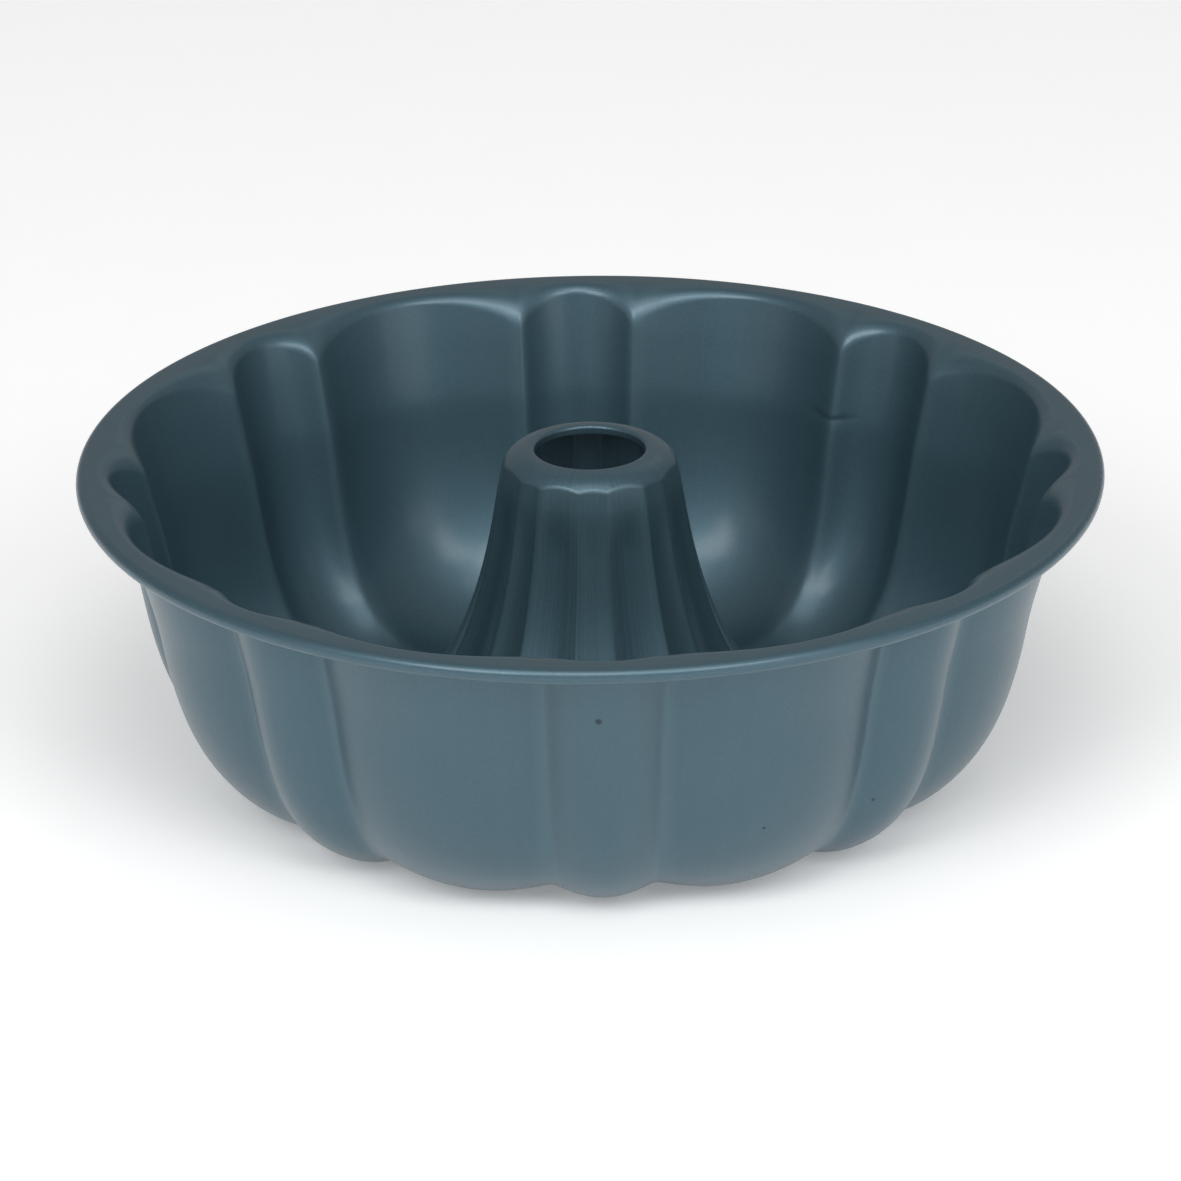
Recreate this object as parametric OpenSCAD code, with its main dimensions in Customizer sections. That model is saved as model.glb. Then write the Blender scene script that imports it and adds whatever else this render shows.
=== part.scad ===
// Fluted tube cake pan: a pressed sheet-steel bowl with narrow and wide lobes in turn,
// a fluted centre tube seamed into its floor, and a wire rolled into its rim.
//
// Frame: the origin is on the pan's axis, on the surface it stands on. +Z is up.
// A narrow lobe is centred on -Y, and azimuths are counted from there towards +X.

/* [Overall] */
// Diameter over the rolled rim
rim_d = 260; // [257:1:270]
// Height from the table to the top of the centre tube
pan_h = 86.6; // [86:0.1:90]
// Height of the flange's upper face above the table
rim_h = 82.7; // [79:0.1:84]
// Thickness of the steel sheet
sheet_t = 0.6; // [0.5:0.05:0.7]

/* [Rim] */
// Diameter of the wire rolled into the rim
wire_d = 2.4; // [2:0.1:2.6]
// How far the sheet is curled round the wire, in degrees
curl_sweep = 288; // [250:2:300]
// Radius of the bend from wall to flange at the top of a lobe
lobe_bend_r = 2.6; // [2:0.1:3.4]
// Radius that the bend from wall to flange nears at the top of a ridge between lobes
ridge_bend_r = 15.2; // [8:0.1:18]
// How quickly the bend tightens from a ridge to a lobe: the lower the value, the quicker
bend_change = 0.46; // [0.3:0.02:0.8]

/* [Bowl] */
// Radius of the ridges between the lobes, where the wall would meet the flange
mouth_r = 115.1; // [112:0.1:117]
// Lean of the wall from the vertical, in degrees
wall_lean = 13.9; // [11:0.1:16]
// Height of the straight part of the wall
wall_straight_h = 24; // [16:1:28]
// Radius of the lowest circle of the floor
valley_r = 77.3; // [73:0.1:80]
// Fullness of the bowl's curve where it leaves the straight wall
wall_fullness = 19.6; // [16:0.1:25]
// Fullness of the bowl's curve where it meets the lowest circle
floor_fullness = 25.7; // [20:0.1:28]

/* [Lobes] */
// How many narrow lobes there are, with a wide lobe between each pair
lobe_pairs = 8; // [6:1:10]
// Half the angle that a narrow lobe takes up on the wall
narrow_half_angle = 7.6; // [6:0.1:8.5]
// Half the angle that a narrow lobe takes up on the floor
floor_half_angle = 8.3; // [6:0.1:9]
// Half the angle that a narrow flute takes up on the tube
flute_half_angle = 8.8; // [7:0.1:10]
// Depth of a narrow lobe at the flange
narrow_depth_flange = 6.8; // [5.5:0.1:7.4]
// Depth of a narrow lobe at the bottom of the straight wall
narrow_depth_wall = 6.2; // [5:0.1:7]
// Depth of a narrow lobe half way round the turn into the floor
narrow_depth_turn = 3.4; // [2.5:0.1:5]
// Depth of a narrow lobe at the lowest circle of the floor
narrow_depth_floor = 4.8; // [3.5:0.1:5.1]
// Depth of a wide lobe at the flange
wide_depth_flange = 7.6; // [6.5:0.1:8]
// Depth of a wide lobe at the bottom of the straight wall
wide_depth_wall = 6.4; // [5:0.1:7]
// Depth of a wide lobe half way round the turn into the floor
wide_depth_turn = 3.2; // [2.5:0.1:5]
// Depth of a wide lobe at the lowest circle of the floor
wide_depth_floor = 5.1; // [4.8:0.1:6]
// How soft the ridge between two lobes is
ridge_softness = 1.6; // [0.8:0.1:2]

/* [Centre tube] */
// Diameter of the hole through the top
hole_d = 28; // [24:0.5:28]
// Radius of the tube's ridges, where their line would meet the level of the top
tube_top_r = 21.2; // [21.2:0.1:23]
// Lean of the tube from the vertical near the top, in degrees
tube_lean = 12.3; // [12:0.1:14]
// Radius of the dome at the top of the tube
dome_r = 8; // [6.5:0.1:8]
// How far the dome turns over before the tighter shoulder, in degrees
shoulder_turn = 55; // [48:1:55]
// Radius of the shoulder between the dome and the tube's side
shoulder_r = 2.3; // [1.6:0.1:2.4]
// Height of the straight part below the shoulder
tube_straight_h = 3.7; // [2:0.1:6]
// Fullness of the flare where it leaves the straight part
tube_fullness = 14; // [9:1:17]
// Fullness of the flare where it meets the lowest circle
foot_fullness = 47.6; // [40:0.1:50]
// Depth of a narrow flute
narrow_flute_depth = 1.1; // [0.5:0.1:1.5]
// Depth of a wide flute
wide_flute_depth = 1.9; // [1:0.1:2.4]
// How soft the ridge between two flutes is
flute_softness = 0.4; // [0.2:0.1:0.8]
// Depth of a narrow flute where it starts, at the shoulder
narrow_flute_top = 0.4; // [0.2:0.1:0.8]
// Depth of a wide flute where it starts, at the shoulder
wide_flute_top = 0.7; // [0.3:0.1:1.2]
// Height of the cylindrical part of the collar turned down inside the hole
collar_h = 1.2; // [0.8:0.1:4]

/* [Foot seam] */
// Radius of the folded seam between the tube and the floor
seam_r = 46; // [44:0.5:50]
// Height of the seam's upright legs
seam_leg = 4; // [3:0.5:6]
// Free gap between the sheets folded into the seam
seam_gap = 0.1; // [0.08:0.01:0.2]

/* [Hidden] */

steel_coat = [0.27, 0.36, 0.39];
bare_steel = [0.62, 0.64, 0.66];

half_t = sheet_t / 2;
period = 360 / lobe_pairs;

// Steps across one narrow lobe and one wide lobe, and the columns of points all round
narrow_steps = 4;
wide_steps = 6;
period_steps = narrow_steps + wide_steps;
columns = lobe_pairs * period_steps;

// Facets round the pan of the turned parts, and round the sections of the bend and the wire
round_facets = 80;
bend_facets = 24;
wire_facets = 16;

// Play between the wire and the curl, which the curl's flat facets need
wire_play = 0.25;
curl_r = wire_d / 2 + wire_play + half_t;
curl_turns = [0, 30, 60, each [for (k = [0 : 5]) mix(90, curl_sweep, k / 5)]];
curl_centre = [rim_d / 2 - curl_r - half_t, rim_h - half_t - curl_r];

// The sheet's middle surface: wall top, start of the bowl's curve, and lowest circle.
// The wide lobes are pressed flat where they would reach below the table.
flat_press = 0.7;
flange_z = rim_h - half_t;
valley_z = wide_depth_floor + half_t - flat_press;
wall_down = [-sin(wall_lean), -cos(wall_lean)];
bowl_start = [mouth_r, flange_z] + wall_down * wall_straight_h / cos(wall_lean);
valley = [valley_r, valley_z];
bowl_curve = [
    valley,
    valley + [floor_fullness, 0],
    bowl_start + wall_down * wall_fullness,
    bowl_start
];

// The tube's middle surface: its top plane, the dome and shoulder, and the flare to the floor
lap = 0.05;
lip_z = pan_h - half_t - lap;
tube_down = [sin(tube_lean), -cos(tube_lean)];
side_turn = 90 - tube_lean;
dome_drop = dome_r * (1 - cos(shoulder_turn));
shoulder_drop = shoulder_r * (cos(shoulder_turn) - cos(side_turn));
tube_corner = [tube_top_r, lip_z];
shoulder_end = tube_corner + tube_down * (dome_drop + shoulder_drop) / cos(tube_lean);
shoulder_centre = shoulder_end - shoulder_r * turned(side_turn);
dome_centre = shoulder_centre - (dome_r - shoulder_r) * turned(shoulder_turn);
flare_top = shoulder_end + tube_down * tube_straight_h;
flare_curve = [
    valley,
    valley - [foot_fullness, 0],
    flare_top + tube_down * tube_fullness,
    flare_top
];

// Height over which the flutes deepen below the shoulder
flute_run = 16;

// Lobes fade to a plain circle beside the foot seam, over this much radius
seam_fade = 9;
seam_margin = 2;
seam_bend_r = 0.9;
tube_leg_r = seam_r - sheet_t - seam_gap;
seam_z = flare_point(flare_at(seam_r))[1];

// A ring that laps both faces of the sheet by lap joins the collar to the tube
collar_bend_r = 0.3;
lap_w = 0.35;
lap_r = hole_d / 2 + sheet_t + collar_bend_r + lap_w;

// Point on a cubic curve given by its four control points, and its unit direction there
function curve_point(c, t) =
    pow(1 - t, 3) * c[0]
    + 3 * pow(1 - t, 2) * t * c[1]
    + 3 * (1 - t) * t * t * c[2]
    + pow(t, 3) * c[3];
function curve_slope(c, t) =
    pow(1 - t, 2) * (c[1] - c[0])
    + 2 * (1 - t) * t * (c[2] - c[1])
    + t * t * (c[3] - c[2]);
function unit(v) = v / norm(v);

// Unit direction that has turned over from straight up by an angle
function turned(angle) = [sin(angle), cos(angle)];

// The flare's point at t, and the t at which its radius is r, found by halving
function flare_point(t) = curve_point(flare_curve, t);
function flare_at(r, lo = 0, hi = 1, tries = 24) =
    let (mid = (lo + hi) / 2)
    tries == 0 ? mid
    : flare_point(mid)[0] > r ? flare_at(r, mid, hi, tries - 1)
    : flare_at(r, lo, mid, tries - 1);

function mix(a, b, w) = a + (b - a) * w;
function ease(x) = let (w = min(1, max(0, x))) w * w * (3 - 2 * w);

// Smooth value that is low at s = 0, middle at s = 0.5 and high at s = 1
function through(low, middle, high, s) =
    low * (1 - s) * (1 - 2 * s) + 4 * middle * s * (1 - s) + high * s * (2 * s - 1);

// Depth of the lobes at angle p from a narrow lobe's middle: two arches in turn,
// with the ridge where they meet rounded by k
function lobe_depth(p, half, narrow, wide, k) =
    let (
        a = narrow * (1 - pow(p / half, 2)),
        b = wide * (1 - pow((abs(p) - period / 2) / (period / 2 - half), 2))
    )
    (a + b + sqrt((a - b) * (a - b) + k * k)) / 2;

// Angle from the nearest narrow lobe's middle for column i, and its whole azimuth
function column_offset(i, half) =
    let (k = i % period_steps)
    k < narrow_steps
    ? -half + 2 * half * k / narrow_steps
    : half + (period - 2 * half) * (k - narrow_steps) / wide_steps;
function folded(p) = p > period / 2 ? p - period : p;
function column_azimuth(i, half) =
    floor(i / period_steps) * period + column_offset(i, half);
function around(r, z, az) = [r * sin(az), -r * cos(az), z];

// A station is a place on the sheet's middle surface, seen in section:
// [[r, z], normal away from the batter, half angle, narrow depth, wide depth, ridge softness]
function plain(point, away, half = narrow_half_angle) = [point, away, half, 0, 0, 0];

// Stations of the bowl from the lowest circle (t = 0) up to the straight wall (t = 1)
function bowl_station(t) =
    let (
        dir = unit(curve_slope(bowl_curve, t)),
        away = [dir[1], -dir[0]],
        rise = atan2(dir[1], dir[0]) / (90 - wall_lean)
    )
    [
        curve_point(bowl_curve, t), away, mix(floor_half_angle, narrow_half_angle, rise),
        through(narrow_depth_floor, narrow_depth_turn, narrow_depth_wall, rise),
        through(wide_depth_floor, wide_depth_turn, wide_depth_wall, rise),
        ridge_softness
    ];

// Stations of the flare from the lowest circle (t = 0) up to the tube's straight part (t = 1)
function flare_station(t) =
    let (
        dir = unit(curve_slope(flare_curve, t)),
        point = flare_point(t),
        far = abs(point[0] - seam_r) - seam_margin,
        w = ease(far / seam_fade),
        down = ease((shoulder_end[1] - point[1]) / flute_run),
        on_tube = point[0] < seam_r
    )
    [
        point, [-dir[1], dir[0]],
        on_tube ? flute_half_angle : floor_half_angle,
        w * (on_tube ? mix(narrow_flute_top, narrow_flute_depth, down) : narrow_depth_floor),
        w * (on_tube ? mix(wide_flute_top, wide_flute_depth, down) : wide_depth_floor),
        w * (on_tube ? flute_softness : ridge_softness)
    ];

// Stations of the curl round the wire, by how far it has turned from the flange
function curl_station(turn) =
    let (out = [cos(90 - turn), sin(90 - turn)])
    plain(curl_centre + curl_r * out, -out);

// One ring of points at a station, moved off the middle surface by off.
// No point goes below floor_z, which presses the lobes flat on the table.
function ring(st, off, floor_z) = [
    for (i = [0 : columns - 1])
        let (
            p = folded(column_offset(i, st[2])),
            d = lobe_depth(p, st[2], st[3], st[4], st[5]) + off,
            q = st[0] + st[1] * d
        )
        around(q[0], max(q[1], floor_z), column_azimuth(i, st[2]))
];

// One ring of points in the bend from wall to flange, which is tighter over a lobe.
// w goes from 0 at the wall to 1 at the flange.
function bend_ring(w, off) = [
    for (i = [0 : columns - 1])
        let (
            p = folded(column_offset(i, narrow_half_angle)),
            d = lobe_depth(
                p, narrow_half_angle, narrow_depth_flange, wide_depth_flange, ridge_softness
            ),
            share = pow(min(1, d / wide_depth_flange), bend_change),
            bend_r = mix(ridge_bend_r, lobe_bend_r, share),
            reach = bend_r * tan((90 - wall_lean) / 2),
            centre = [mouth_r + d / cos(wall_lean) + reach, flange_z - bend_r],
            turn = mix(180 - wall_lean, 90, w),
            q = centre + (bend_r - off) * [cos(turn), sin(turn)]
        )
        around(q[0], q[1], column_azimuth(i, narrow_half_angle))
];

// Depth of the flutes at the shoulder for column i, and how far the dome has turned over
// where the shoulder starts on a column of depth d
function flute_top(i) =
    lobe_depth(
        folded(column_offset(i, flute_half_angle)),
        flute_half_angle, narrow_flute_top, wide_flute_top, flute_softness
    );
function shoulder_start(d) =
    let (reach = dome_r - shoulder_r)
    side_turn - acos(cos(side_turn - shoulder_turn) - d / reach);

// One ring of points on the shoulder, from the dome (w = 0) to the tube's side (w = 1)
function shoulder_ring(w, off) = [
    for (i = [0 : columns - 1])
        let (
            start = shoulder_start(flute_top(i)),
            centre = dome_centre + (dome_r - shoulder_r) * turned(start),
            q = centre + (shoulder_r - off) * turned(mix(start, side_turn, w))
        )
        around(q[0], q[1], column_azimuth(i, flute_half_angle))
];

// One ring of points on the dome, from its flat top (w = 0) to the shoulder (w = 1)
function dome_ring(w, off) = [
    for (i = [0 : columns - 1])
        let (q = dome_centre + (dome_r - off) * turned(w * shoulder_start(flute_top(i))))
        around(q[0], q[1], column_azimuth(i, flute_half_angle))
];

// Closed sheet between two stacks of rings, which run from one edge of the sheet to the other.
// Seen in section, the left stack lies to the left of that run.
module sheet_body(left, right) {
    rows = len(left);
    shift = rows * columns;
    faces = [
        for (r = [0 : rows - 2])
            for (i = [0 : columns - 1])
                let (
                    j = (i + 1) % columns,
                    a = r * columns + i,
                    b = r * columns + j,
                    c = a + columns,
                    d = b + columns
                )
                each [
                    [a, b, c], [b, d, c],
                    [a + shift, c + shift, b + shift],
                    [b + shift, c + shift, d + shift]
                ],
        for (i = [0 : columns - 1])
            let (
                j = (i + 1) % columns,
                e = (rows - 1) * columns
            )
            each [
                [i, i + shift, j], [j, i + shift, j + shift],
                [e + i, e + j, e + i + shift], [e + j, e + j + shift, e + i + shift]
            ]
    ];
    polyhedron(
        points = [for (ring_points = concat(left, right)) each ring_points],
        faces = faces
    );
}

// Seam edge of the floor: a turned-down leg, the bend over its top, then the sloping floor
function shell_seam() =
    let (
        t = flare_at(seam_r + 1.6),
        start = flare_station(t),
        centre = start[0] + start[1] * seam_bend_r,
        top_turn = atan2(-start[1][1], -start[1][0])
    )
    [
        plain([centre[0] - seam_bend_r, centre[1] - seam_leg], [1, 0]),
        for (turn = [180, mix(180, top_turn, 0.5), top_turn])
            let (out = [cos(turn), sin(turn)])
            plain(centre + seam_bend_r * out, -out)
    ];

// The stations are close together beside the lowest circle, where the wide lobes are flat
function shell_stations() = [
    each shell_seam(),
    for (w = [0.2, 0.45, 0.72, 0.92])
        flare_station(flare_at(mix(seam_r, valley_r, w))),
    for (t = [0, 0.03, 0.14, 0.28, 0.42, 0.56, 0.7, 0.85, 1])
        bowl_station(t)
];

module pan_shell() {
    stations = shell_stations();
    curl = [for (turn = curl_turns) curl_station(turn)];
    bends = [0, 0.35, 0.7, 1];
    inside = [
        for (st = stations) ring(st, -half_t, sheet_t),
        for (w = bends) bend_ring(w, -half_t),
        for (st = curl) ring(st, -half_t, 0)
    ];
    outside = [
        for (st = stations) ring(st, half_t, 0),
        for (w = bends) bend_ring(w, half_t),
        for (st = curl) ring(st, half_t, 0)
    ];
    color(steel_coat) sheet_body(inside, outside);
}

// Foot of the tube: folded up outside the floor's seam leg, and down again inside it
function tube_seam() =
    let (
        leg_top = seam_z - 1.5,
        leg_end = seam_z - seam_leg - 1.5 * sheet_t - seam_gap,
        outer_r = tube_leg_r + 2 * (sheet_t + seam_gap)
    )
    [
        plain([outer_r, leg_end + seam_leg * 0.8], [1, 0]),
        plain([outer_r, leg_end], [1, -1]),
        plain([tube_leg_r, leg_end], [-1, -1]),
        plain([tube_leg_r, leg_top], [-1, 0])
    ];

function tube_stations() = [
    each tube_seam(),
    for (t = [0.03, 0.15, 0.29, 0.43, 0.57, 0.71, 0.85, 1])
        flare_station(mix(flare_at(seam_r - 1), 1, t))
];

// All the rings of the tube's sheet at one distance from its middle surface
function tube_rings(off) = [
    for (st = tube_stations()) ring(st, off, 0),
    for (w = [1, 0.75, 0.5, 0.25, 0]) shoulder_ring(w, off),
    for (w = [0.85, 0.6, 0.3, 0]) dome_ring(w, off),
    ring(plain([lap_r - lap_w + 0.1, lip_z], [0, -1], flute_half_angle), off, 0)
];

// Lip of the hole and the collar turned down inside it
module collar() {
    r = hole_d / 2;
    bend = collar_bend_r + sheet_t;
    top = lip_z + half_t + lap;
    rotate_extrude($fn = round_facets) {
        translate([r, top - bend - collar_h])
            square([sheet_t, collar_h]);
        translate([r + bend, top - bend])
            intersection() {
                difference() {
                    circle(r = bend, $fn = bend_facets);
                    circle(r = collar_bend_r, $fn = bend_facets);
                }
                translate([-bend, 0])
                    square(bend);
            }
        translate([r + bend, top - sheet_t - 2 * lap])
            square([lap_r - r - bend, sheet_t + 2 * lap]);
    }
}

module centre_tube() {
    color(steel_coat)
        union() {
            sheet_body(tube_rings(half_t), tube_rings(-half_t));
            collar();
        }
}

module rim_wire() {
    color(bare_steel)
        rotate_extrude($fn = round_facets)
            translate(curl_centre) circle(d = wire_d, $fn = wire_facets);
}

pan_shell();
centre_tube();
rim_wire();
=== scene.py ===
"""Fluted tube cake pan of coated steel sheet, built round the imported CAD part.

The bowl and the centre tube are made again here as fine, smooth sheets on the same section
curves as the CAD nodes that they stand for. The CAD rim wire stays. All three get procedural
materials. Lengths are in millimetres until a mesh is made, and azimuths in degrees, counted
from -Y towards +X as in the CAD source.
"""

import math

import bpy
import numpy as np
from mathutils import Matrix, Vector


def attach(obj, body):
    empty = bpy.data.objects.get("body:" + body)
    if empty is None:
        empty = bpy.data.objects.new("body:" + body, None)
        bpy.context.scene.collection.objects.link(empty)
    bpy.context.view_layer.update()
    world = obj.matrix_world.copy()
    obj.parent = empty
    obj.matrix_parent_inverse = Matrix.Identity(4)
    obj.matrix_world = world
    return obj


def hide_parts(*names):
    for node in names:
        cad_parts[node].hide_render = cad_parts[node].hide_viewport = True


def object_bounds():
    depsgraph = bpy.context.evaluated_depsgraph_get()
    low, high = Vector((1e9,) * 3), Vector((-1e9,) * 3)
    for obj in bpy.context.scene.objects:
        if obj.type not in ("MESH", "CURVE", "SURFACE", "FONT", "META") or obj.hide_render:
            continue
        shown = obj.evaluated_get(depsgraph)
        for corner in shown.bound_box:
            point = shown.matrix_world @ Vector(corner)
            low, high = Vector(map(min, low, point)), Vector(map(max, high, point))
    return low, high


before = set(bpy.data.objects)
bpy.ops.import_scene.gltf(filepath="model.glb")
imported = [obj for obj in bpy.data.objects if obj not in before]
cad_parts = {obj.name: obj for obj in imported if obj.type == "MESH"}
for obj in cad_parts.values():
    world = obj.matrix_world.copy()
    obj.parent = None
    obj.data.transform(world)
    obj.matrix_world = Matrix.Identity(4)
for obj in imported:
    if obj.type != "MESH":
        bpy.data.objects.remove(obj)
cad_low, cad_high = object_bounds()

MM = 0.001

# ---------------------------------------------------------------- sizes, as in the CAD source
RIM_D = 260.0
PAN_H = 86.6
RIM_H = 82.7
SHEET_T = 0.6
WIRE_D = 2.4
WIRE_PLAY = 0.25
CURL_SWEEP = 288.0
LOBE_BEND_R = 2.6
RIDGE_BEND_R = 15.2
BEND_CHANGE = 0.46

MOUTH_R = 115.1
WALL_LEAN = 13.9
WALL_STRAIGHT_H = 24.0
VALLEY_R = 77.3
WALL_FULLNESS = 19.6
FLOOR_FULLNESS = 25.7
FLAT_PRESS = 0.7

LOBE_PAIRS = 8
PERIOD = 360.0 / LOBE_PAIRS
NARROW_HALF = 7.6
FLOOR_HALF = 8.3
FLUTE_HALF = 8.8
NARROW_DEPTH = (4.8, 3.4, 6.2)
WIDE_DEPTH = (5.1, 3.2, 6.4)
NARROW_DEPTH_FLANGE = 6.8
WIDE_DEPTH_FLANGE = 7.6
RIDGE_SOFTNESS = 1.6

HOLE_D = 28.0
TUBE_TOP_R = 21.2
TUBE_LEAN = 12.3
DOME_R = 8.0
SHOULDER_TURN = 55.0
SHOULDER_R = 2.3
TUBE_STRAIGHT_H = 3.7
TUBE_FULLNESS = 14.0
FOOT_FULLNESS = 47.6
NARROW_FLUTE = 1.1
WIDE_FLUTE = 1.9
FLUTE_SOFTNESS = 0.4
NARROW_FLUTE_TOP = 0.4
WIDE_FLUTE_TOP = 0.7
FLUTE_RUN = 16.0
COLLAR_H = 1.2
COLLAR_BEND_R = 0.6

SEAM_R = 46.0
SEAM_LEG = 4.0
SEAM_GAP = 0.1
SEAM_BEND_R = 0.9
SEAM_FADE = 9.0
SEAM_MARGIN = 2.0

# ---------------------------------------------------------------- sizes of the visual model only
# How far from the seam's radius each sheet starts to bend down into it
SEAM_START = 1.6
# Share of the seam leg's height that the tube's folded foot covers
FOLD_SHARE = 0.8
# How far below the flare's start the foot's bend begins and has its corner, in bend widths
FILLET_START = 1.6
FILLET_CORNER = 0.4
# Flat of the flange before the curl: its width, and how far in its second row lies
FLANGE_FLAT_W = 2.6
FLANGE_FLAT_ROW = 1.5
# Share of the straight wall below the lowest start of the bend into the flange
WALL_TO = 0.6
# Distance over which the lobes' depth is evened out along the section, and how far from the
# seam this takes to set in fully
DEPTH_BLEND = 6.0
DEPTH_BLEND_RUN = 20.0
# Softness of the turn where the lobes are pressed flat on the table, in square millimetres
REST_SOFTNESS = 0.02
# Edges sharper than this many degrees stay sharp in the shading
SHARP_ANGLE = 50

# A small dent knocked outward in the wall: where its upper edge is lowest, how much that edge
# curves up to each side, half its length, its depth, and how quickly it starts and fades
DENT_AZIMUTH = 143.6
DENT_HEIGHT = 57.3
DENT_CURVE = 0.03
DENT_HALF = 6.0
DENT_DEPTH = 0.35
DENT_EDGE = 0.6
DENT_FADE = 1.8
# Shares of the bowl's curve and of the straight wall between which the rows are closer
DENT_ROWS = (0.92, 0.12)

# Rows of points along the bowl's section, from the foot to the end of the curl
LEG_BEND_ROWS = 7
FLOOR_ROWS = 15
BOWL_ROWS = 29
BOWL_CLOSE_ROWS = 10
WALL_CLOSE_ROWS = 6
WALL_ROWS = 7
BEND_ROWS = 17
CURL_ROWS = 23
# Rows of points along the tube's section, from the folded foot to the collar
FOLD_TOP_ROWS = 4
FOLD_ROWS = 9
FOOT_LEG_ROWS = 5
FILLET_ROWS = 6
FLARE_ROWS = 34
SHOULDER_ROWS = 12
DOME_ROWS = 22
COLLAR_ROWS = 8
# Columns of points across a narrow and a wide lobe, and how far they crowd towards the ridges
NARROW_STEPS = 18
WIDE_STEPS = 32
CROWDING = 0.85

# ---------------------------------------------------------------- derived points, [radius, height]
HALF_T = SHEET_T / 2
CURL_R = WIRE_D / 2 + WIRE_PLAY + HALF_T
FLANGE_Z = RIM_H - HALF_T
LIP_Z = PAN_H - HALF_T
VALLEY_Z = WIDE_DEPTH[0] + HALF_T - FLAT_PRESS


def direction(angle):
    """Unit vector at an angle in degrees."""
    return np.array([math.cos(math.radians(angle)), math.sin(math.radians(angle))])


def unit(v):
    """The same vector, or array of vectors, with length 1."""
    return v / np.linalg.norm(v, axis=-1, keepdims=True)


WALL_DOWN = direction(WALL_LEAN - 90) * [-1, 1]
TUBE_DOWN = direction(TUBE_LEAN - 90)
VALLEY = np.array([VALLEY_R, VALLEY_Z])
WALL_TOP = np.array([MOUTH_R, FLANGE_Z])
BOWL_START = WALL_TOP + WALL_DOWN * WALL_STRAIGHT_H / math.cos(math.radians(WALL_LEAN))
BOWL_CURVE = np.array([
    VALLEY,
    VALLEY + [FLOOR_FULLNESS, 0],
    BOWL_START + WALL_DOWN * WALL_FULLNESS,
    BOWL_START,
])
SIDE_TURN = 90 - TUBE_LEAN
DOME_DIP = DOME_R * (1 - direction(SHOULDER_TURN)[0])
SHOULDER_DIP = SHOULDER_R * (direction(SHOULDER_TURN)[0] - direction(SIDE_TURN)[0])
SHOULDER_FALL = TUBE_DOWN * (DOME_DIP + SHOULDER_DIP) / math.cos(math.radians(TUBE_LEAN))
SHOULDER_END = np.array([TUBE_TOP_R, LIP_Z]) + SHOULDER_FALL
SHOULDER_CENTRE = SHOULDER_END - SHOULDER_R * direction(90 - SIDE_TURN)
DOME_CENTRE = SHOULDER_CENTRE - (DOME_R - SHOULDER_R) * direction(90 - SHOULDER_TURN)
FLARE_TOP = SHOULDER_END + TUBE_DOWN * TUBE_STRAIGHT_H
FLARE_CURVE = np.array([
    VALLEY,
    VALLEY - [FOOT_FULLNESS, 0],
    FLARE_TOP + TUBE_DOWN * TUBE_FULLNESS,
    FLARE_TOP,
])
CURL_CENTRE = np.array([RIM_D / 2 - CURL_R - HALF_T, FLANGE_Z - CURL_R])


# ---------------------------------------------------------------- section curves
def curve_point(c, t):
    """Point at t on the cubic curve with control points c."""
    s = 1 - t
    return s ** 3 * c[0] + 3 * s * s * t * c[1] + 3 * s * t * t * c[2] + t ** 3 * c[3]


def curve_slope(c, t):
    """Unit direction at t of the cubic curve with control points c."""
    s = 1 - t
    return unit(s * s * (c[1] - c[0]) + 2 * s * t * (c[2] - c[1]) + t * t * (c[3] - c[2]))


def flare_at(radius):
    """The t at which the flare has this radius, found by halving."""
    low = 0.0
    high = 1.0
    for _ in range(40):
        middle = (low + high) / 2
        if curve_point(FLARE_CURVE, middle)[0] > radius:
            low = middle
        else:
            high = middle
    return low


def ease(x):
    """Smooth step from 0 at x = 0 to 1 at x = 1."""
    w = np.clip(x, 0, 1)
    return w * w * (3 - 2 * w)


def through(values, s):
    """Smooth value that is values[0] at s = 0, values[1] at s = 0.5 and values[2] at s = 1."""
    low, middle, high = values
    return low * (1 - s) * (1 - 2 * s) + 4 * middle * s * (1 - s) + high * s * (2 * s - 1)


def lobe_depth(p, half, narrow, wide, k):
    """Depth of the lobes at angle p from a narrow lobe's middle, with soft ridges."""
    a = narrow * (1 - (p / half) ** 2)
    b = wide * (1 - ((np.abs(p) - PERIOD / 2) / (PERIOD / 2 - half)) ** 2)
    return (a + b + np.sqrt((a - b) ** 2 + k * k)) / 2


def station(point, away, half=NARROW_HALF, narrow=0.0, wide=0.0, soft=0.0):
    """A place on the sheet's middle surface in section, and the lobes there.

    The row holds the radius, height, both parts of the normal away from the batter, a narrow
    lobe's half angle, the depths of narrow and wide lobes, and the softness of the ridges.
    """
    return [point[0], point[1], away[0], away[1], half, narrow, wide, soft]


def bowl_station(t):
    """Station of the bowl's curve, from the valley (t = 0) up to the straight wall (t = 1)."""
    slope = curve_slope(BOWL_CURVE, t)
    rise = math.degrees(math.atan2(slope[1], slope[0])) / (90 - WALL_LEAN)
    away = (slope[1], -slope[0])
    point = curve_point(BOWL_CURVE, t)
    half = FLOOR_HALF + (NARROW_HALF - FLOOR_HALF) * rise
    return station(point, away, half, through(NARROW_DEPTH, rise), through(WIDE_DEPTH, rise),
                   RIDGE_SOFTNESS)


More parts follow.
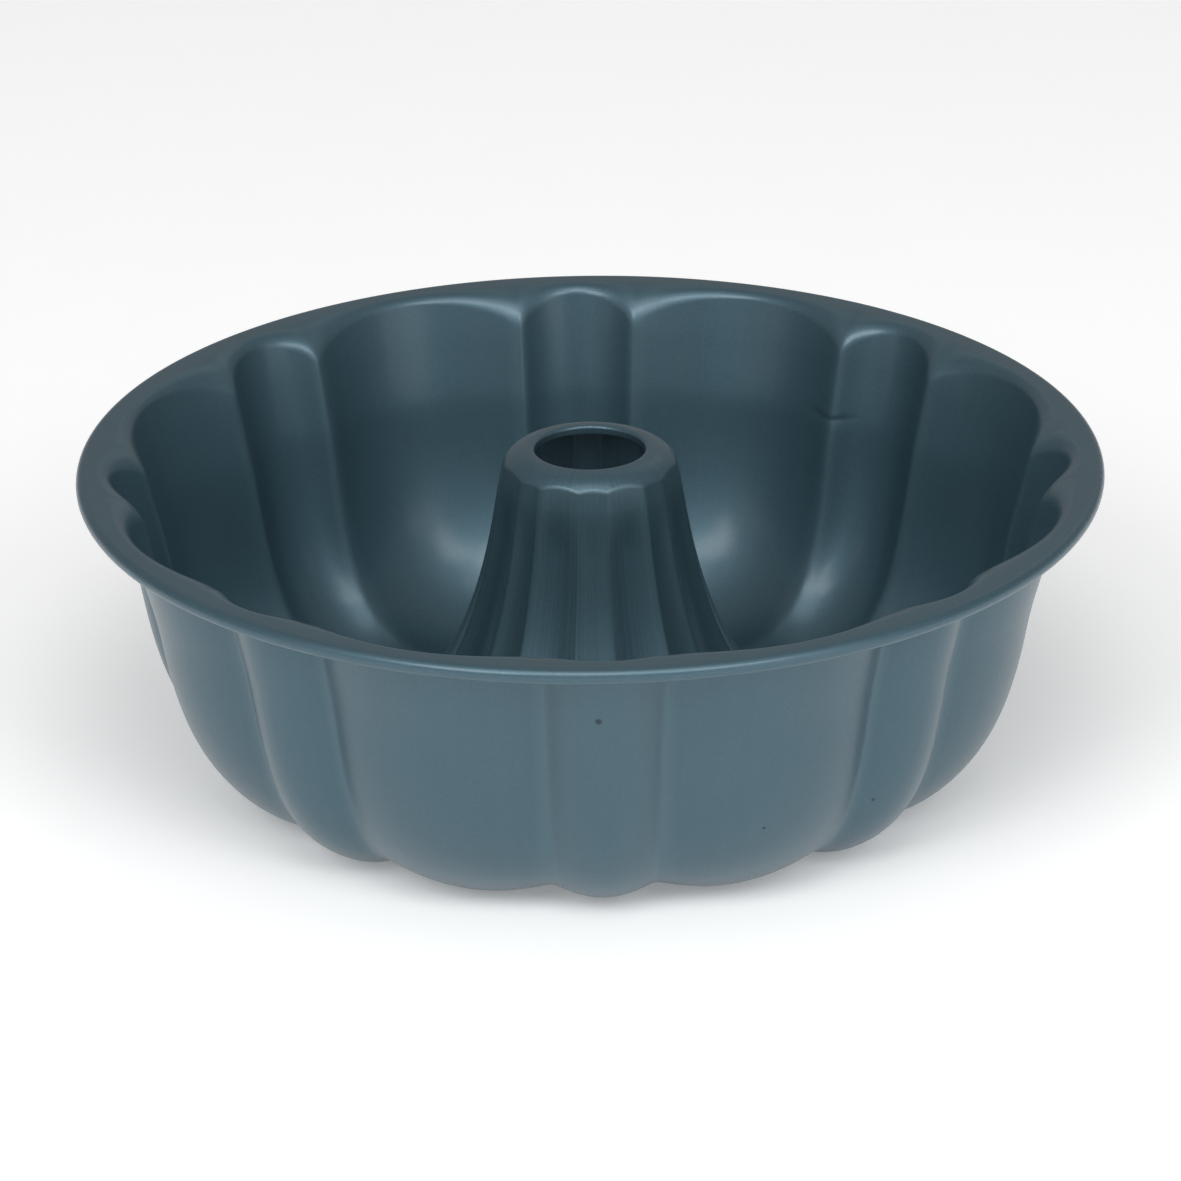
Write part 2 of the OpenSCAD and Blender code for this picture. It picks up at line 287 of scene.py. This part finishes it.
def flare_station(t):
    """Station of the flare, from the valley (t = 0) up to the tube's straight side (t = 1).

    Lobes and flutes fade out on both sides of the seam.
    """
    slope = curve_slope(FLARE_CURVE, t)
    point = curve_point(FLARE_CURVE, t)
    w = ease((abs(point[0] - SEAM_R) - SEAM_MARGIN) / SEAM_FADE)
    away = (-slope[1], slope[0])
    if point[0] < SEAM_R:
        down = ease((SHOULDER_END[1] - point[1]) / FLUTE_RUN)
        narrow = NARROW_FLUTE_TOP + (NARROW_FLUTE - NARROW_FLUTE_TOP) * down
        wide = WIDE_FLUTE_TOP + (WIDE_FLUTE - WIDE_FLUTE_TOP) * down
        return station(point, away, FLUTE_HALF, w * narrow, w * wide, w * FLUTE_SOFTNESS)
    return station(point, away, FLOOR_HALF, w * NARROW_DEPTH[0], w * WIDE_DEPTH[0],
                   w * RIDGE_SOFTNESS)


def wall_station(w):
    """Station of the straight wall, from the bowl's curve (w = 0) up to the flange (w = 1)."""
    left = (1 - w) ** 2
    away = (-WALL_DOWN[1], WALL_DOWN[0])
    return station(BOWL_START * (1 - w) + WALL_TOP * w, away, NARROW_HALF,
                   NARROW_DEPTH_FLANGE + (NARROW_DEPTH[2] - NARROW_DEPTH_FLANGE) * left,
                   WIDE_DEPTH_FLANGE + (WIDE_DEPTH[2] - WIDE_DEPTH_FLANGE) * left,
                   RIDGE_SOFTNESS)


def arc_stations(centre, radius, start, end, count, half=NARROW_HALF):
    """Plain stations along an arc of the section, from one angle to another."""
    turns = np.linspace(start, end, count)
    return [station(centre + radius * direction(a), -direction(a), half) for a in turns]


# ---------------------------------------------------------------- columns round the pan
def column_shares(count):
    """Shares from 0 up to 1 across one lobe, closer together beside the ridges."""
    u = np.linspace(-1, 1, count, endpoint=False)
    return (1 + (1 - CROWDING) * u + CROWDING * np.sin(u * math.pi / 2)) / 2


PAIR_SHARES = np.concatenate([column_shares(NARROW_STEPS), column_shares(WIDE_STEPS)])
COLUMN_SHARE = np.tile(PAIR_SHARES, LOBE_PAIRS)
COLUMN_WIDE = np.tile(np.arange(NARROW_STEPS + WIDE_STEPS) >= NARROW_STEPS, LOBE_PAIRS)
COLUMN_BASE = np.repeat(np.arange(LOBE_PAIRS) * PERIOD, NARROW_STEPS + WIDE_STEPS)


def column_angles(half):
    """Azimuth of each column, and its angle from the nearest narrow lobe's middle."""
    narrow = -half + 2 * half * COLUMN_SHARE
    wide = half + (PERIOD - 2 * half) * COLUMN_SHARE
    offset = np.where(COLUMN_WIDE, wide, narrow)
    return COLUMN_BASE + offset, np.where(offset > PERIOD / 2, offset - PERIOD, offset)


def around(r, z, azimuth):
    """Points at a radius, height and azimuth from the pan's axis."""
    a = np.radians(azimuth)
    return np.stack([r * np.sin(a), -r * np.cos(a), z + 0 * a], axis=-1)


def rings(stations):
    """Middle-surface points and lobe depths, one ring of columns for each station."""
    r, z, nr, nz, half, narrow, wide, soft = np.array(stations, float).T[:, :, None]
    azimuth, p = column_angles(half)
    depth = lobe_depth(p, half, narrow, wide, soft)
    return around(r + nr * depth, z + nz * depth, azimuth), depth


def bend_rings(count):
    """Rings of the bend from the wall to the flange, which is tighter over a lobe."""
    azimuth, p = column_angles(NARROW_HALF)
    depth = lobe_depth(p, NARROW_HALF, NARROW_DEPTH_FLANGE, WIDE_DEPTH_FLANGE, RIDGE_SOFTNESS)
    share = np.minimum(1, depth / WIDE_DEPTH_FLANGE) ** BEND_CHANGE
    bend_r = RIDGE_BEND_R + (LOBE_BEND_R - RIDGE_BEND_R) * share
    lean = math.radians(WALL_LEAN)
    reach = bend_r * math.tan((math.pi / 2 - lean) / 2)
    centre_r = MOUTH_R + depth / math.cos(lean) + reach
    turn = np.linspace(math.pi - lean, math.pi / 2, count)[:, None]
    r = centre_r + bend_r * np.cos(turn)
    z = FLANGE_Z - bend_r + bend_r * np.sin(turn)
    flat = 1 - np.linspace(0, 1, count)[:, None]
    return around(r, z, azimuth), depth * flat


def dome_rings(shoulder_count, dome_count):
    """Rings of the shoulder from the tube's side up, then of the dome to its flat top.

    The shoulder starts higher up where a flute is deeper.
    """
    azimuth, p = column_angles(FLUTE_HALF)
    depth = lobe_depth(p, FLUTE_HALF, NARROW_FLUTE_TOP, WIDE_FLUTE_TOP, FLUTE_SOFTNESS)
    reach = DOME_R - SHOULDER_R
    base = math.cos(math.radians(SIDE_TURN - SHOULDER_TURN))
    start = math.radians(SIDE_TURN) - np.arccos(base - depth / reach)
    centre_r = DOME_CENTRE[0] + reach * np.sin(start)
    centre_z = DOME_CENTRE[1] + reach * np.cos(start)
    turn = start + (math.radians(SIDE_TURN) - start) * np.linspace(1, 0, shoulder_count)[:, None]
    shoulder = around(centre_r + SHOULDER_R * np.sin(turn), centre_z + SHOULDER_R * np.cos(turn),
                      azimuth)
    turn = start * np.linspace(1, 0, dome_count)[1:, None]
    dome = around(DOME_CENTRE[0] + DOME_R * np.sin(turn), DOME_CENTRE[1] + DOME_R * np.cos(turn),
                  azimuth)
    rows = shoulder_count + dome_count - 1
    flat = np.clip(1 - np.arange(rows) / shoulder_count, 0, 1)[:, None]
    return np.concatenate([shoulder, dome]), depth * flat


# ---------------------------------------------------------------- sheets from rings
def side_slope(points, axis, periodic):
    """Direction of a grid along one axis, right also where the steps are uneven."""
    ahead = np.roll(points, -1, axis) - points
    behind = points - np.roll(points, 1, axis)
    if not periodic:
        ahead[-1] = behind[-1]
        behind[0] = ahead[0]
    h = np.linalg.norm(ahead, axis=-1, keepdims=True)
    b = np.linalg.norm(behind, axis=-1, keepdims=True)
    return unit(ahead * b / h + behind * h / b)


def thick_grid(middle):
    """Two skins of points half a sheet to either side of the middle surface."""
    along = side_slope(middle, 0, False)
    across = side_slope(middle, 1, True)
    normal = unit(np.cross(along, across))
    return middle - normal * HALF_T, middle + normal * HALF_T


def sheet_quads(rows, columns):
    """Faces of a closed sheet: two skins and the two edges between them."""
    i = np.arange(columns)
    j = (i + 1) % columns
    r = np.arange(rows - 1)[:, None] * columns
    skin = np.stack([r + i, r + j, r + columns + j, r + columns + i], -1).reshape(-1, 4)
    shift = rows * columns
    end = (rows - 1) * columns
    first = np.stack([i, i + shift, j + shift, j], -1)
    last = np.stack([end + i, end + j, end + j + shift, end + i + shift], -1)
    return np.concatenate([skin, skin[:, ::-1] + shift, first, last])


def sheet_object(name, middle, depth):
    """A mesh object of pressed sheet that carries the lobe depth as an attribute."""
    rows, columns = middle.shape[:2]
    skins = np.concatenate(thick_grid(middle))
    skins[..., 2] = np.maximum(skins[..., 2], 0)
    mesh = bpy.data.meshes.new(name)
    quads = sheet_quads(rows, columns)
    mesh.from_pydata((skins.reshape(-1, 3) * MM).tolist(), [], quads.tolist())
    layer = mesh.attributes.new("depth", "FLOAT", "POINT")
    layer.data.foreach_set("value", np.tile(depth.ravel(), 2).astype(np.float32))
    mesh.shade_smooth()
    mesh.set_sharp_from_angle(angle=math.radians(SHARP_ANGLE))
    made = bpy.data.objects.new(name, mesh)
    bpy.context.scene.collection.objects.link(made)
    return made


# ---------------------------------------------------------------- the two sheets
def build_shell():
    """The bowl, from its seam leg at the foot over the floor and wall to the end of the curl."""
    start = flare_station(flare_at(SEAM_R + SEAM_START))
    away = np.array(start[2:4])
    bend_centre = np.array(start[:2]) + away * SEAM_BEND_R
    top_turn = math.degrees(math.atan2(-away[1], -away[0]))
    leg_r = bend_centre[0] - SEAM_BEND_R
    stations = [station([leg_r, bend_centre[1] - z], (1, 0)) for z in (SEAM_LEG, SEAM_LEG / 2)]
    stations += arc_stations(bend_centre, SEAM_BEND_R, 180, top_turn, LEG_BEND_ROWS)[:-1]
    floor = np.linspace(SEAM_R + SEAM_START, VALLEY_R, FLOOR_ROWS)[:-1]
    stations += [flare_station(flare_at(r)) for r in floor]
    close_from, close_to = DENT_ROWS
    stations += [bowl_station(t) for t in np.linspace(0, close_from, BOWL_ROWS)[:-1]]
    stations += [bowl_station(t) for t in np.linspace(close_from, 1, BOWL_CLOSE_ROWS)]
    stations += [wall_station(w) for w in np.linspace(0, close_to, WALL_CLOSE_ROWS)[1:]]
    stations += [wall_station(w) for w in np.linspace(close_to, WALL_TO, WALL_ROWS)[1:]]
    lower, lower_depth = rings(even_depths(stations))
    bend, bend_depth = bend_rings(BEND_ROWS)
    flat_start = CURL_CENTRE[0] - FLANGE_FLAT_W
    flats = [station([r, FLANGE_Z], (0, -1)) for r in (flat_start, flat_start + FLANGE_FLAT_ROW)]
    curl = arc_stations(CURL_CENTRE, CURL_R, 90, 90 - CURL_SWEEP, CURL_ROWS)
    upper, upper_depth = rings(flats + curl)
    points = np.concatenate([lower, bend, upper])
    depth = np.concatenate([lower_depth, bend_depth, upper_depth])
    points[..., 2] = soft_floor(points[..., 2])
    points = dented(points)
    return sheet_object("pressed_bowl", points, depth)


def even_depths(stations):
    """The same stations with the lobe depths averaged over a short way along the section."""
    table = np.array(stations, float)
    steps = np.linalg.norm(np.diff(table[:, :2], axis=0), axis=1)
    place = np.concatenate([[0], np.cumsum(steps)])
    weight = np.exp(-0.5 * ((place[:, None] - place[None, :]) / DEPTH_BLEND) ** 2)
    weight *= np.gradient(place)
    weight /= weight.sum(axis=1, keepdims=True)
    depths = table[:, 5:7]
    table[:, 5:7] += (weight @ depths - depths) * ease(place / DEPTH_BLEND_RUN)[:, None]
    return table.tolist()


def dented(points):
    """The points with those at the dent pushed away from the axis."""
    r = np.hypot(points[..., 0], points[..., 1])
    azimuth = np.degrees(np.arctan2(points[..., 0], -points[..., 1]))
    along = np.radians(azimuth - DENT_AZIMUTH) * r
    below = DENT_HEIGHT + DENT_CURVE * along ** 2 - points[..., 2]
    push = DENT_DEPTH * np.exp(-(along / DENT_HALF) ** 4) * ease(below / DENT_EDGE)
    push = push * np.exp(-np.maximum(below, 0) / DENT_FADE)
    return points * np.stack([1 + push / r, 1 + push / r, 1 + 0 * r], axis=-1)


def soft_floor(z):
    """Keeps the middle surface half a sheet above the table, with a soft turn."""
    up = z - HALF_T
    return HALF_T + (up + np.sqrt(up * up + REST_SOFTNESS)) / 2


def build_tube():
    """The centre tube, from the folded foot up the flutes and over the dome to the collar."""
    seam_z = curve_point(FLARE_CURVE, flare_at(SEAM_R))[1]
    leg_r = SEAM_R - SHEET_T - SEAM_GAP
    fold_r = SHEET_T + SEAM_GAP
    leg_end = seam_z - SEAM_LEG - 1.5 * SHEET_T - SEAM_GAP
    fold_centre = np.array([leg_r + fold_r, leg_end + fold_r])
    outer_top = leg_end + SEAM_LEG * FOLD_SHARE
    stations = [station([leg_r + 2 * fold_r, z], (1, 0))
                for z in np.linspace(outer_top, fold_centre[1], FOLD_TOP_ROWS)[:-1]]
    stations += arc_stations(fold_centre, fold_r, 0, -180, FOLD_ROWS)
    flare_start = flare_at(SEAM_R - SEAM_START)
    start = flare_station(flare_start)
    away = np.array(start[2:4])
    turn_z = start[1] + away[1] * SEAM_BEND_R
    stations += [station([leg_r, z], (-1, 0))
                 for z in np.linspace(fold_centre[1], turn_z, FOOT_LEG_ROWS)[1:-1]]
    stations += fillet_to(leg_r, start)
    stations += [flare_station(t) for t in np.linspace(flare_start, 1, FLARE_ROWS)[1:]]
    lower, lower_depth = rings(stations)
    dome, dome_depth = dome_rings(SHOULDER_ROWS, DOME_ROWS)
    hole_r = HOLE_D / 2 + HALF_T
    bend_centre = np.array([hole_r + COLLAR_BEND_R, LIP_Z - COLLAR_BEND_R])
    collar = arc_stations(bend_centre, COLLAR_BEND_R, 90, 180, COLLAR_ROWS, FLUTE_HALF)
    collar.append(station([hole_r, bend_centre[1] - COLLAR_H], (1, 0), FLUTE_HALF))
    upper, upper_depth = rings(collar)
    points = np.concatenate([lower, dome, upper])
    depth = np.concatenate([lower_depth, dome_depth, upper_depth])
    return sheet_object("fluted_tube", points, depth)


def fillet_to(leg_r, start):
    """Stations that turn from the foot's upright leg at leg_r into the flare at start."""
    end = np.array(start[:2])
    away = np.array(start[2:4])
    leg_away = np.array([-1.0, 0.0])
    low = np.array([leg_r, end[1] - (leg_r - end[0]) * FILLET_START])
    corner = np.array([leg_r, end[1] - (leg_r - end[0]) * FILLET_CORNER])
    made = []
    for w in np.linspace(0, 1, FILLET_ROWS)[1:-1]:
        point = (1 - w) ** 2 * low + 2 * w * (1 - w) * corner + w * w * end
        made.append(station(point, unit(leg_away * (1 - w) + away * w)))
    return made


# ---------------------------------------------------------------- materials
# Colours of the coating: darker and lighter clouds, pale grain, dark draw lines, worn ridges
# and chips
COAT_DARK = (0.055, 0.108, 0.138, 1)
COAT_LIGHT = (0.061, 0.118, 0.150, 1)
COAT_GRAIN = (0.078, 0.150, 0.188, 1)
COAT_LINES = (0.036, 0.078, 0.100, 1)
COAT_WORN = (0.105, 0.180, 0.215, 1)
COAT_CHIP = (0.020, 0.040, 0.055, 1)
WIRE_COLOUR = (0.42, 0.43, 0.44, 1)
FLOOR_COLOURS = ((0.93, 0.93, 0.93, 1), (0.95, 0.95, 0.95, 1))
WHITE = (1, 1, 1, 1)
FLOOR_GLOW = 0.22

# Strength of the draw lines on the bowl and on the tube
BOWL_LINES = 0.06
TUBE_LINES = 0.4

# Small chips in the coating: place in metres, and radius
CHIPS = (
    ((-0.0018, -0.1173, 0.0639), 0.0011),
    ((0.0669, -0.0803, 0.0242), 0.0006),
    ((0.0389, -0.1012, 0.0269), 0.0006),
)
# Where the radial marks on the flange start and are at full strength, in metres
MARKS_X = (0.085, 0.118)
MARKS_Z = (0.0805, 0.0820)
MARKS_STRENGTH = 0.9


def add_node(tree, kind, settings=None, **inputs):
    """A shader node with its settings and inputs. An input is a socket to link, or a value."""
    made = tree.nodes.new("ShaderNode" + kind)
    for key, value in (settings or {}).items():
        setattr(made, key, value)
    for key, value in inputs.items():
        place = int(key[2:]) if key.startswith("at") else key.replace("_", " ")
        socket = made.inputs[place]
        if isinstance(value, bpy.types.NodeSocket):
            tree.links.new(value, socket)
        else:
            socket.default_value = value
    return made


def new_material(name):
    """An empty node material and its tree."""
    material = bpy.data.materials.new(name)
    material.use_nodes = True
    material.node_tree.nodes.clear()
    return material, material.node_tree


def mixed_colour(tree, share, under, over):
    """A colour node that goes from one colour to another with the share."""
    return add_node(tree, "Mix", {"data_type": "RGBA"}, Factor=share, at6=under, at7=over)


def finish_material(tree, shader):
    """Links the shader to the material's output."""
    out = tree.nodes.new("ShaderNodeOutputMaterial")
    tree.links.new(shader.outputs[0], out.inputs["Surface"])


def spot_mask(tree, place, centre, radius):
    """1 within radius of a point of the pan, with a soft edge, and 0 outside."""
    away = add_node(tree, "VectorMath", {"operation": "DISTANCE"}, at0=place, at1=centre)
    return add_node(tree, "MapRange", Value=away.outputs["Value"], From_Min=radius * 0.5,
                    From_Max=radius, To_Min=1.0, To_Max=0.0).outputs["Result"]


def radial_direction(tree, place):
    """Unit vector from the axis towards the point, the same all the way up."""
    flat = add_node(tree, "VectorMath", {"operation": "MULTIPLY"}, at0=place, at1=(1, 1, 0))
    return add_node(tree, "VectorMath", {"operation": "NORMALIZE"}, at0=flat.outputs[0])


def flange_mask(tree, place):
    """1 on the right-hand side of the flange, where drawing left fine radial marks."""
    parts = add_node(tree, "SeparateXYZ", at0=place)
    right = add_node(tree, "MapRange", Value=parts.outputs["X"], From_Min=MARKS_X[0],
                     From_Max=MARKS_X[1])
    high = add_node(tree, "MapRange", Value=parts.outputs["Z"], From_Min=MARKS_Z[0],
                    From_Max=MARKS_Z[1])
    return add_node(tree, "Math", {"operation": "MULTIPLY"}, at0=right.outputs["Result"],
                    at1=high.outputs["Result"]).outputs[0]


def coated_steel(name, lines, chips):
    """Satin blue-grey non-stick coating.

    It has fine grain, slow changes of tone and gloss, faint lines where the sheet was drawn,
    worn ridges and a few chips.
    """
    material, tree = new_material(name)
    place = add_node(tree, "TexCoord").outputs["Object"]
    cloud = add_node(tree, "TexNoise", Vector=place, Scale=22.0, Detail=3.0, Roughness=0.5)
    grain = add_node(tree, "TexNoise", Vector=place, Scale=1500.0, Detail=2.0, Roughness=0.6)
    radial = radial_direction(tree, place)
    draw = add_node(tree, "TexNoise", Vector=radial.outputs[0], Scale=42.0, Detail=3.0)
    tone = add_node(tree, "MapRange", Value=cloud.outputs["Fac"], From_Min=0.3, From_Max=0.7)
    colour = mixed_colour(tree, tone.outputs["Result"], COAT_DARK, COAT_LIGHT)
    speckle = add_node(tree, "MapRange", Value=grain.outputs["Fac"], From_Min=0.35,
                       From_Max=0.7, To_Min=0.0, To_Max=0.35)
    colour = mixed_colour(tree, speckle.outputs["Result"], colour.outputs[2], COAT_GRAIN)
    streak = add_node(tree, "MapRange", Value=draw.outputs["Fac"], From_Min=0.35, From_Max=0.65,
                      To_Min=0.0, To_Max=lines)
    colour = mixed_colour(tree, streak.outputs["Result"], colour.outputs[2], COAT_LINES)
    depth = add_node(tree, "Attribute", {"attribute_name": "depth"})
    ridge = add_node(tree, "MapRange", Value=depth.outputs["Fac"], From_Min=0.8, From_Max=1.8,
                     To_Min=0.25, To_Max=0.0)
    inside = add_node(tree, "MapRange", Value=depth.outputs["Fac"], From_Min=0.1, From_Max=0.5)
    worn = add_node(tree, "Math", {"operation": "MULTIPLY"}, at0=ridge.outputs["Result"],
                    at1=inside.outputs["Result"])
    colour = mixed_colour(tree, worn.outputs[0], colour.outputs[2], COAT_WORN)
    for centre, radius in chips:
        spot = spot_mask(tree, place, centre, radius)
        colour = mixed_colour(tree, spot, colour.outputs[2], COAT_CHIP)
    gloss = add_node(tree, "MapRange", Value=cloud.outputs["Fac"], From_Min=0.3, From_Max=0.7,
                     To_Min=0.46, To_Max=0.52)
    fine = add_node(tree, "Bump", Height=grain.outputs["Fac"], Strength=0.14, Distance=0.0001)
    strength = add_node(tree, "Math", {"operation": "MULTIPLY_ADD"},
                        at0=flange_mask(tree, place), at1=MARKS_STRENGTH, at2=0.3 * lines)
    bump = add_node(tree, "Bump", Height=draw.outputs["Fac"], Strength=strength.outputs[0],
                    Distance=0.0006, Normal=fine.outputs["Normal"])
    shader = add_node(tree, "BsdfPrincipled", Base_Color=colour.outputs[2], Metallic=0.7,
                      Roughness=gloss.outputs["Result"], Normal=bump.outputs["Normal"],
                      Coat_Weight=0.5, Coat_Roughness=0.22, Specular_IOR_Level=0.3)
    finish_material(tree, shader)
    return material


def wire_steel(name):
    """Drawn steel wire, bright, with fine random grain in its gloss and surface."""
    material, tree = new_material(name)
    place = add_node(tree, "TexCoord").outputs["Object"]
    grain = add_node(tree, "TexNoise", Vector=place, Scale=600.0, Detail=3.0)
    gloss = add_node(tree, "MapRange", Value=grain.outputs["Fac"], To_Min=0.25, To_Max=0.45)
    bump = add_node(tree, "Bump", Height=grain.outputs["Fac"], Strength=0.15, Distance=0.0001)
    shader = add_node(tree, "BsdfPrincipled", Base_Color=WIRE_COLOUR, Metallic=1.0,
                      Roughness=gloss.outputs["Result"], Normal=bump.outputs["Normal"])
    finish_material(tree, shader)
    return material


def floor_material(name):
    """A plain pale floor that glows a little, so that it stays pale in the shade."""
    material, tree = new_material(name)
    place = add_node(tree, "TexCoord").outputs["Object"]
    grain = add_node(tree, "TexNoise", Vector=place, Scale=40.0, Detail=2.0)
    colour = mixed_colour(tree, grain.outputs["Fac"], *FLOOR_COLOURS)
    shader = add_node(tree, "BsdfPrincipled", Base_Color=colour.outputs[2], Roughness=0.9,
                      Emission_Color=WHITE, Emission_Strength=FLOOR_GLOW)
    finish_material(tree, shader)
    return material


# ---------------------------------------------------------------- room, light and camera
# Half the floor's side, and its distance below the pan, in metres
FLOOR_HALF_SIDE = 6.0
FLOOR_GAP = 0.0002
WORLD_STRENGTH = 0.33

# Name, azimuth, elevation, distance (m), size (m) and power (W) of each soft light
LIGHTS = (
    ("key", -32, 38, 2.4, 1.1, 18.2),
    ("front_right_low", 45, 14, 2.4, 1.5, 5.6),
    ("front_right", 30, 38, 2.4, 1.0, 12.5),
    ("high_front", 0, 50, 2.4, 1.0, 9),
    ("overhead", 0, 64, 1.8, 1.2, 4.8),
    ("back", 180, 55, 2.4, 1.6, 0.8),
    ("right_back", 150, 38, 2.4, 1.0, 0.7),
    ("left_low", -60, 14, 2.4, 1.1, 1.5),
)
# Height that the lights are aimed at, in metres
LIGHT_AIM_Z = 0.04

# The camera looks at the middle of the rim. Angles in degrees, distance in metres, lens and
# sensor in millimetres
CAMERA_AZIMUTH = -1.57
CAMERA_ELEVATION = 22.79
CAMERA_DISTANCE = 2.080
CAMERA_ROLL = -0.58
CAMERA_TILT = 0.849
CAMERA_PAN = 0.003
CAMERA_LENS = 250.5
CAMERA_SENSOR = 36.0


def build_floor(material):
    """A large plain square under the pan."""
    mesh = bpy.data.meshes.new("studio_floor")
    side = FLOOR_HALF_SIDE
    corners = [(-side, -side, 0), (side, -side, 0), (side, side, 0), (-side, side, 0)]
    mesh.from_pydata(corners, [], [(0, 1, 2, 3)])
    made = bpy.data.objects.new("studio_floor", mesh)
    bpy.context.scene.collection.objects.link(made)
    made.location.z = cad_low[2] - FLOOR_GAP
    mesh.materials.append(material)


def outward(azimuth, elevation):
    """Unit vector from the pan towards an azimuth and elevation in degrees."""
    a = math.radians(azimuth)
    e = math.radians(elevation)
    return Vector((math.sin(a) * math.cos(e), -math.cos(a) * math.cos(e), math.sin(e)))


def area_light(name, azimuth, elevation, distance, size, power, aim):
    """A round soft light at a distance from aim, turned to face it."""
    back = outward(azimuth, elevation)
    data = bpy.data.lights.new(name, "AREA")
    data.shape = "DISK"
    data.size = size
    data.energy = power
    made = bpy.data.objects.new(name, data)
    made.location = aim + back * distance
    made.rotation_mode = "QUATERNION"
    made.rotation_quaternion = back.to_track_quat("Z", "Y")
    bpy.context.scene.collection.objects.link(made)


def build_lights():
    """The soft lights and an even white surround."""
    aim = Vector((0, 0, LIGHT_AIM_Z))
    for light in LIGHTS:
        area_light(*light, aim)
    world = bpy.data.worlds.new("studio")
    world.use_nodes = True
    sky = world.node_tree.nodes["Background"]
    sky.inputs["Color"].default_value = WHITE
    sky.inputs["Strength"].default_value = WORLD_STRENGTH
    bpy.context.scene.world = world


def build_camera():
    """A long lens that looks down on the pan's rim from the front."""
    data = bpy.data.cameras.new("camera")
    data.lens = CAMERA_LENS
    data.sensor_width = CAMERA_SENSOR
    data.clip_start = 0.1
    data.clip_end = 50.0
    made = bpy.data.objects.new("camera", data)
    bpy.context.scene.collection.objects.link(made)
    aim = Vector((0, 0, CURL_CENTRE[1] * MM))
    back = outward(CAMERA_AZIMUTH, CAMERA_ELEVATION)
    turn = back.to_track_quat("Z", "Y").to_matrix()
    turn = turn @ Matrix.Rotation(math.radians(CAMERA_ROLL), 3, "Z")
    turn = turn @ Matrix.Rotation(math.radians(-CAMERA_TILT), 3, "X")
    turn = turn @ Matrix.Rotation(math.radians(-CAMERA_PAN), 3, "Y")
    made.matrix_world = Matrix.Translation(aim + back * CAMERA_DISTANCE) @ turn.to_4x4()
    bpy.context.scene.camera = made


# ---------------------------------------------------------------- the scene
bowl = build_shell()
tube = build_tube()
for piece, node in ((bowl, "pan_shell"), (tube, "centre_tube")):
    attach(piece, "root")
    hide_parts(node)
bowl.data.materials.append(coated_steel("coating_bowl", BOWL_LINES, CHIPS))
tube.data.materials.append(coated_steel("coating_tube", TUBE_LINES, ()))

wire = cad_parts["rim_wire"]
wire.data.materials.clear()
wire.data.materials.append(wire_steel("rim_wire_steel"))

build_floor(floor_material("pale_floor"))
build_lights()
build_camera()
bpy.context.scene.view_settings.view_transform = "Standard"
